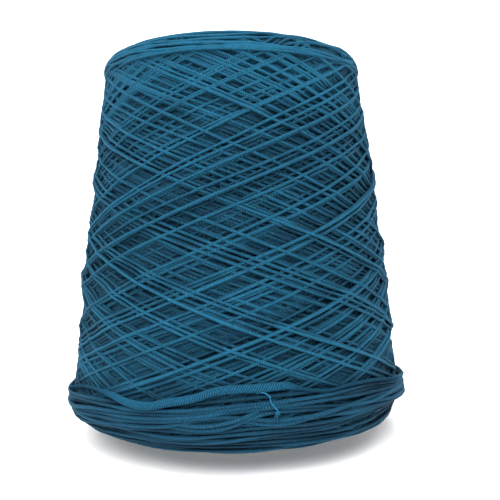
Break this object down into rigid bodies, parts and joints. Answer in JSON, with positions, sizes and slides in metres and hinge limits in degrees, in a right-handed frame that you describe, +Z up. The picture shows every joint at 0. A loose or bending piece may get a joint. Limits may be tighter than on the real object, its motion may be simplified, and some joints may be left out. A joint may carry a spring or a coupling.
{
  "type": "yarn cone",
  "caption": "Tapered cone of cross-wound plied cotton yarn on a hollow paper cone, with slack wraps and a twisted finishing strand round its base.",
  "frame": {"origin": "centre of the paper cone's base rim, on the surface that it stands on", "axes": "+Z up along the package's axis towards the nose, -Y towards the side where the finishing strand lies"},
  "size_m": [0.1476, 0.1476, 0.17],
  "materials": {
    "cotton_yarn": "plied cotton yarn, soft matt with a faint combed sheen, petrol blue",
    "kraft_board": "wound kraft board, matt, unprinted"
  },
  "bodies": {
    "root": {"paper_core": "kraft_board", "winding_stage_1": "cotton_yarn", "winding_stage_2": "cotton_yarn", "winding_stage_3": "cotton_yarn", "winding_stage_4": "cotton_yarn", "winding_stage_5": "cotton_yarn", "start_turns": "cotton_yarn", "slack_wrap_01": "cotton_yarn", "slack_wrap_02": "cotton_yarn", "slack_wrap_03": "cotton_yarn", "slack_wrap_04": "cotton_yarn", "slack_wrap_05": "cotton_yarn", "slack_wrap_06": "cotton_yarn", "slack_wrap_07": "cotton_yarn", "slack_wrap_08": "cotton_yarn", "slack_wrap_09": "cotton_yarn", "slack_wrap_10": "cotton_yarn", "slack_wrap_11": "cotton_yarn", "slack_wrap_12": "cotton_yarn", "finishing_strand": "cotton_yarn"}
  },
  "joints": []
}
